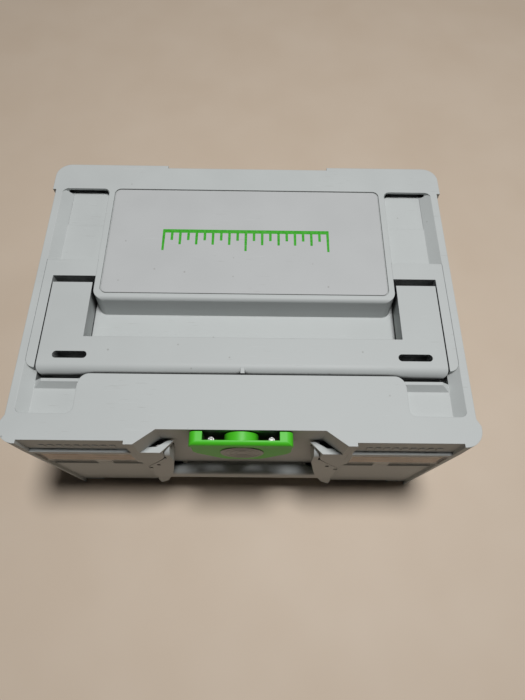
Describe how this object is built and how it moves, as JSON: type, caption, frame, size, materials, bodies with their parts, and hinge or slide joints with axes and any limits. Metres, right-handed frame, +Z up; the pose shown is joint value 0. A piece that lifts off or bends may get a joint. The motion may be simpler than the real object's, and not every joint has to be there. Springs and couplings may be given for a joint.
{
  "type": "stackable tool case",
  "caption": "Stackable plastic tool case with a hinged lid, folding lid handle, folding front handle and rotary front latch.",
  "frame": {"origin": "centre of the footprint, on the surface that the feet stand on", "axes": "+X to the right along the width, +Y to the back where the hinge is, +Z up"},
  "size_m": [0.396, 0.296, 0.187],
  "materials": {
    "body_abs": "fine spark-eroded ABS",
    "plate_abs": "fine matte ABS",
    "handle_abs": "satin ABS",
    "latch_green": "satin moulded",
    "emblem_grey": "satin moulded",
    "clear_window": "clear polycarbonate",
    "card_paper": "printed card",
    "bush_plastic": "dark acetal",
    "pin_steel": "drawn steel",
    "screw_zinc": "bright zinc plated"
  },
  "bodies": {
    "case_base": {"base_shell": "body_abs", "front_bracket_left": "body_abs", "front_bracket_right": "body_abs", "label_window_left": "clear_window", "label_window_right": "clear_window", "label_card_left": "card_paper", "label_card_right": "card_paper", "latch_bush": "bush_plastic", "hinge_pin_left": "pin_steel", "hinge_pin_right": "pin_steel", "front_pin_left": "pin_steel", "front_pin_right": "pin_steel"},
    "case_lid": {"lid_shell": "body_abs", "lid_plate": "plate_abs", "handle_bearing_left": "body_abs", "handle_bearing_right": "body_abs", "handle_pin_left": "pin_steel", "handle_pin_right": "pin_steel"},
    "top_grip": {"lid_handle": "handle_abs"},
    "front_grip": {"front_handle": "handle_abs"},
    "latch": {"latch_knob": "latch_green", "latch_emblem": "emblem_grey", "latch_screws": "screw_zinc", "latch_retainer": "pin_steel"}
  },
  "joints": [
    {"name": "lid_hinge", "type": "hinge", "parent": "case_base", "child": "case_lid", "pos_m": [0, 0.1445, 0.1575], "axis": [-1, 0, 0], "range_deg": [0, 95]},
    {"name": "lid_handle_fold", "type": "hinge", "parent": "case_lid", "child": "top_grip", "pos_m": [0, -0.005, 0.1775], "axis": [-1, 0, 0], "range_deg": [0, 90]},
    {"name": "front_handle_fold", "type": "hinge", "parent": "case_base", "child": "front_grip", "pos_m": [0, -0.1385, 0.144], "axis": [-1, 0, 0], "range_deg": [0, 90]},
    {"name": "latch_turn", "type": "hinge", "parent": "case_base", "child": "latch", "pos_m": [0, -0.1446, 0.148], "axis": [0, 1, 0], "range_deg": [0, 90]}
  ]
}
